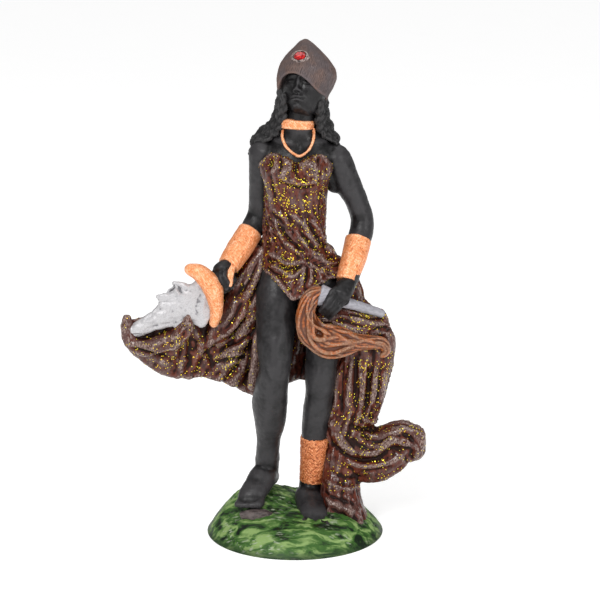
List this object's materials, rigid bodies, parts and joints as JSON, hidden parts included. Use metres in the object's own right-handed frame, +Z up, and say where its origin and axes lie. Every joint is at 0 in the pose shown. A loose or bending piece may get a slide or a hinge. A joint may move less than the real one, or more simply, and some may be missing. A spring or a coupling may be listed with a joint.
{
  "type": "orisha statue",
  "caption": "Standing robed female figure in windblown drapery with a short curved sword and a horsehair whisk, cast in one with a round domed mound, with a stone set in its pointed cap.",
  "frame": {"origin": "centre of the mound's flat underside, at ground level", "axes": "+Z up along the figure's height, the figure faces -Y, +X towards its left hand"},
  "size_m": [0.122, 0.071, 0.1992],
  "materials": {
    "painted_casting": "cast plaster or resin, hand-painted in matt and varnished colours",
    "red_stone": "faceted acrylic stone with a foil back",
    "black_skin_paint": "matt black paint, rubbed grey on the high spots",
    "black_hair_paint": "matt black paint in the grooves of the locks",
    "brown_cap_paint": "dark brown paint, dry-brushed over fine grooves",
    "maroon_dress_paint": "dark maroon paint under gloss varnish with red and grey-brown streaks",
    "copper_paint": "bright copper-orange metallic paint with coarse brush marks",
    "silver_paint": "speckled silver-white metallic paint, grey where it thins",
    "grey_handle_paint": "smooth light grey paint",
    "chestnut_whisk_paint": "red-brown paint, copper dry-brush on the strands",
    "green_mound_paint": "mottled dark and yellow-green brush strokes, dark at the rim",
    "brown_rock_paint": "grey-brown paint",
    "gold_glitter": "metallised gold craft flakes set in the varnish"
  },
  "bodies": {
    "root": {"statue": "painted_casting", "cap_stone": "red_stone"}
  },
  "joints": []
}
